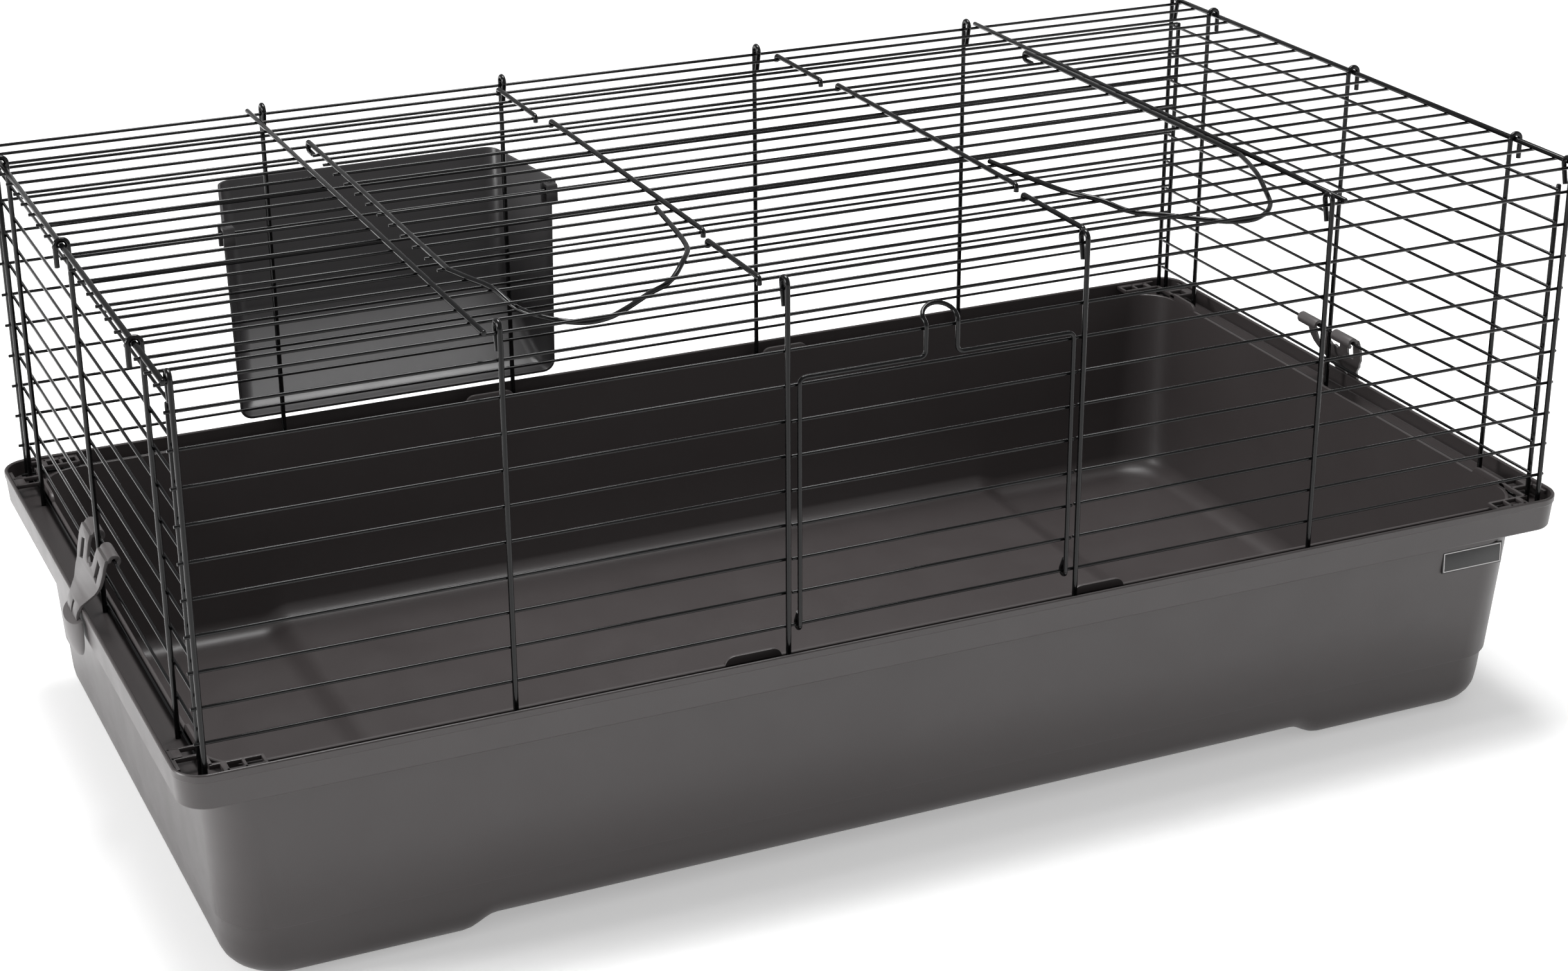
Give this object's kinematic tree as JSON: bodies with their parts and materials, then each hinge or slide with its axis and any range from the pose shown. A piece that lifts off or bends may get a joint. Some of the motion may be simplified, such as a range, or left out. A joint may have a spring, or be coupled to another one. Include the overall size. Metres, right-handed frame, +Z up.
{
  "type": "guinea_pig_cage",
  "caption": "Small-animal cage: long dark plastic tub, black wire top with a roof door and a front door, two end clips and a hay rack hung on the back",
  "frame": {"origin": "On the floor under the middle of the whole footprint, hay rack included", "axes": "X along the cage's length to the right, Y from the front to the back, Z up"},
  "size_m": [1.015, 0.6113, 0.4158],
  "materials": {
    "tub_plastic": "satin",
    "wire": "gloss",
    "clip_plastic": "satin",
    "rack_plastic": "satin"
  },
  "bodies": {
    "cage": {"tub": "tub_plastic", "front_uprights": "wire", "back_uprights": "wire", "left_end_uprights": "wire", "right_end_uprights": "wire", "front_rails": "wire", "front_short_rails": "wire", "back_rails": "wire", "left_end_rails": "wire", "right_end_rails": "wire", "roof_long_wires": "wire", "roof_short_wires": "wire", "roof_cross_wires": "wire", "roof_edge_wires": "wire", "roof_stub_wires": "wire"},
    "top_door": {"top_door_side_wires": "wire", "top_door_latch_springs": "wire", "top_door_bars": "wire", "top_door_cross_wires": "wire"},
    "front_door": {"front_door_frame": "wire", "front_door_bars": "wire"},
    "left_clip": {"left_clip": "clip_plastic"},
    "right_clip": {"right_clip": "clip_plastic"},
    "hay_rack": {"hay_rack": "rack_plastic"}
  },
  "joints": [
    {"name": "top_door_hinge", "type": "hinge", "parent": "cage", "child": "top_door", "pos_m": [0, 0.12224, 0.4072], "axis": [-1, 0, 0], "range_deg": [0, 150], "deforming": ["top_door_latch_springs"]},
    {"name": "front_door_hinge", "type": "hinge", "parent": "cage", "child": "front_door", "pos_m": [0, -0.29357, 0.18106], "axis": [1, 0, 0], "range_deg": [0, 125]},
    {"name": "left_clip_hinge", "type": "hinge", "parent": "cage", "child": "left_clip", "pos_m": [-0.47945, -0.03222, 0.20432], "axis": [0, 1, 0], "range_deg": [0, 90]},
    {"name": "right_clip_hinge", "type": "hinge", "parent": "cage", "child": "right_clip", "pos_m": [0.47945, -0.03222, 0.20432], "axis": [0, -1, 0], "range_deg": [0, 90]},
    {"name": "hay_rack_lift", "type": "slide", "parent": "cage", "child": "hay_rack", "axis": [0, 0, 1], "range_m": [0, 0.01]}
  ]
}
